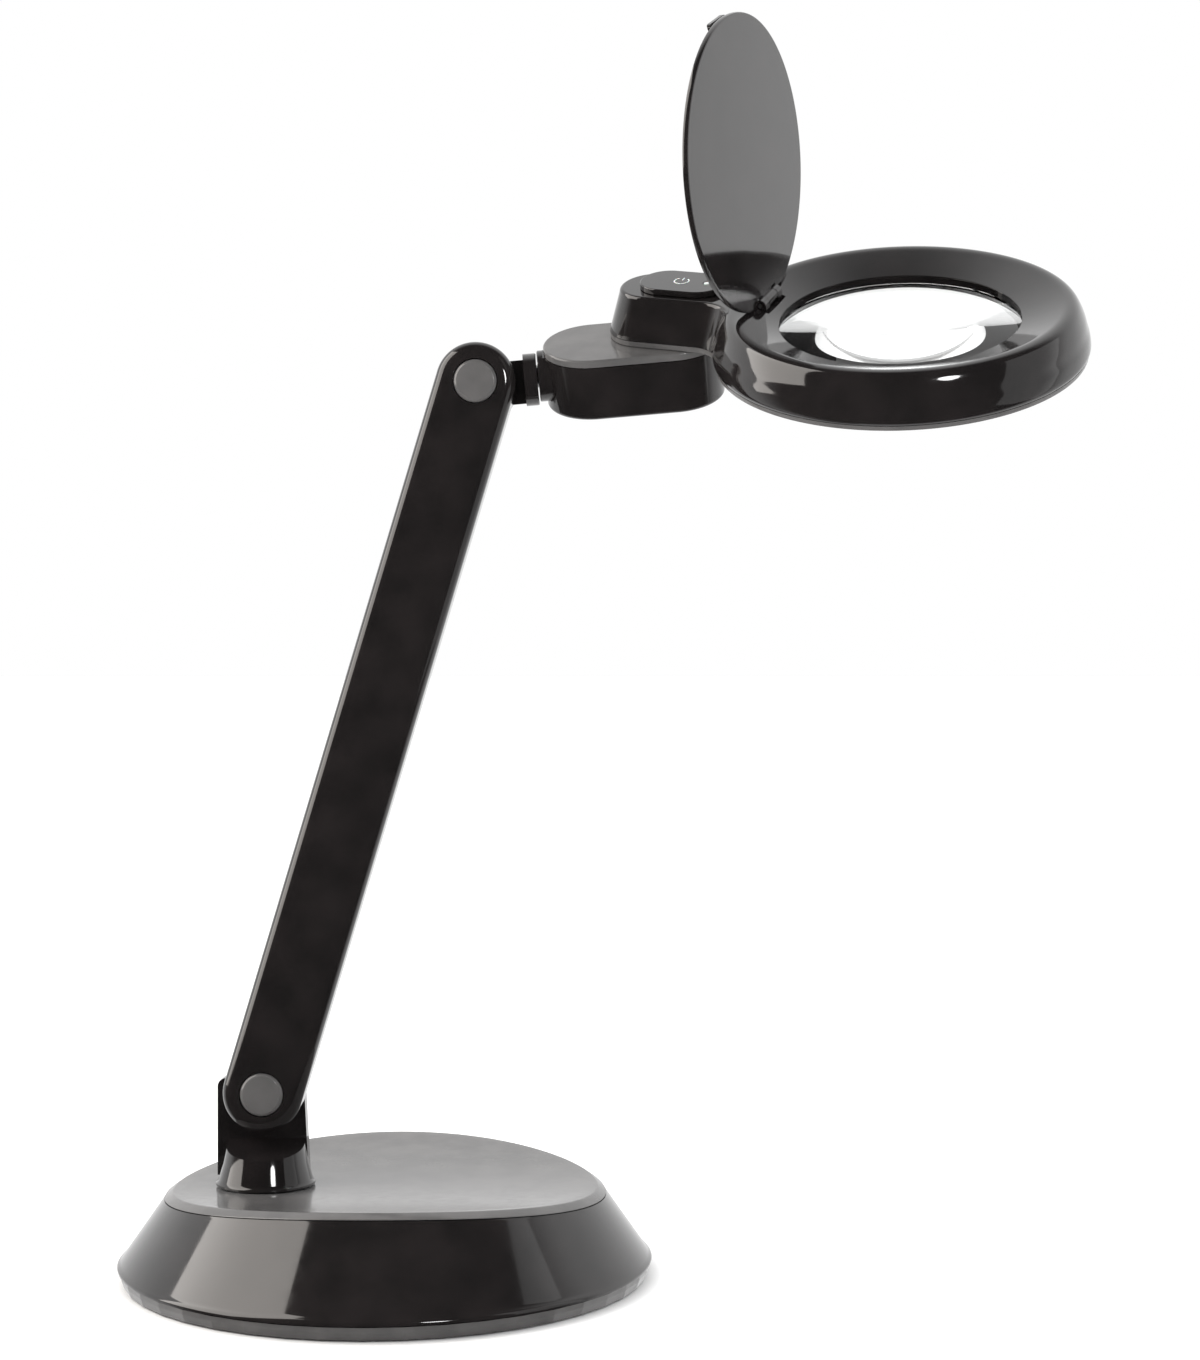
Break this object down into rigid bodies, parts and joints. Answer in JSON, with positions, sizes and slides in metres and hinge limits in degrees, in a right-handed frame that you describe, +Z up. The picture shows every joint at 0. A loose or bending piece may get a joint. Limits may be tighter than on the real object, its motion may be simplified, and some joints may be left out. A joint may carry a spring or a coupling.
{
  "type": "magnifying lamp",
  "caption": "Desk magnifying lamp: a heavy round base, a swivelling post, a tilting arm, a twisting link and a ring head that holds a clear lens, a ring light and a hinged cover.",
  "frame": {"origin": "centre of the round base on the surface it stands on (underside of the rubber foot pad)", "axes": "+Z up; +X from the post towards the head at rest; the arm bar lies on the -Y side of the post and elbow ears"},
  "size_m": [0.3411, 0.1957, 0.4406],
  "materials": {
    "black_gloss": "high gloss, moulded",
    "grey_gloss": "high gloss dark grey, moulded",
    "zinc_steel": "zinc plated, satin",
    "washer_brass": "dull",
    "foot_rubber": "matt",
    "lens_glass": "polished, clear",
    "frosted_plastic": "frosted, lets light through",
    "board_white": "solder mask"
  },
  "bodies": {
    "base": {"base_skirt": "black_gloss", "base_top_plate": "grey_gloss", "base_bottom_cover": "grey_gloss", "foot_pad": "foot_rubber", "ballast_weight": "zinc_steel", "cover_screw_1": "zinc_steel", "cover_screw_2": "zinc_steel", "cover_screw_3": "zinc_steel", "cover_screw_4": "zinc_steel", "power_inlet": "black_gloss", "post_washer": "zinc_steel"},
    "post": {"post_bracket": "black_gloss", "post_swivel_nut": "zinc_steel", "lower_pivot_nut": "zinc_steel", "lower_rear_cap": "black_gloss"},
    "arm": {"arm_front_shell": "black_gloss", "arm_rear_shell": "black_gloss", "arm_spine": "zinc_steel", "lower_pivot_cap": "grey_gloss", "upper_pivot_cap": "grey_gloss", "lower_pivot_bolt": "zinc_steel", "upper_pivot_bolt": "zinc_steel", "lower_friction_washer": "washer_brass", "upper_friction_washer": "washer_brass"},
    "elbow": {"elbow_bracket": "black_gloss", "upper_pivot_nut": "zinc_steel", "upper_rear_cap": "black_gloss"},
    "link": {"link_housing": "black_gloss", "link_top_cover": "grey_gloss", "twist_shaft": "zinc_steel", "twist_nut": "zinc_steel"},
    "head": {"head_upper_shell": "black_gloss", "head_lower_cover": "grey_gloss", "lens": "lens_glass", "lens_retainer": "black_gloss", "diffuser_ring": "frosted_plastic", "led_board": "board_white", "touch_panel": "black_gloss", "indicator_lens": "frosted_plastic", "control_board": "board_white", "swivel_shaft": "zinc_steel", "swivel_nut": "zinc_steel", "swivel_washer": "foot_rubber", "hinge_fork": "black_gloss", "hinge_pin": "zinc_steel"},
    "lid": {"lens_cover": "black_gloss"}
  },
  "joints": [
    {"name": "post_swivel", "type": "hinge", "parent": "base", "child": "post", "pos_m": [-0.0437, 0, 0], "axis": [0, 0, 1], "range_deg": [-90, 90]},
    {"name": "arm_tilt", "type": "hinge", "parent": "post", "child": "arm", "pos_m": [-0.0437, 0, 0.0661], "axis": [0, 1, 0], "range_deg": [-35, 40]},
    {"name": "elbow_tilt", "type": "hinge", "parent": "arm", "child": "elbow", "pos_m": [0.03268, 0, 0.32069], "axis": [0, 1, 0], "range_deg": [-50, 36]},
    {"name": "link_twist", "type": "hinge", "parent": "elbow", "child": "link", "pos_m": [0.05491, 0, 0.32364], "axis": [0.9962, 0, 0.0872], "range_deg": [-118.9, 61.1]},
    {"name": "head_swivel", "type": "hinge", "parent": "link", "child": "head", "pos_m": [0.10332, 0, 0.32787], "axis": [-0.0763, -0.4833, 0.8721], "range_deg": [-63.8, 116.2]},
    {"name": "lens_cover_hinge", "type": "hinge", "parent": "head", "child": "lid", "pos_m": [0.13587, -0.02847, 0.34759], "axis": [0.402, 0.7855, 0.4705], "range_deg": [0, 96]}
  ]
}
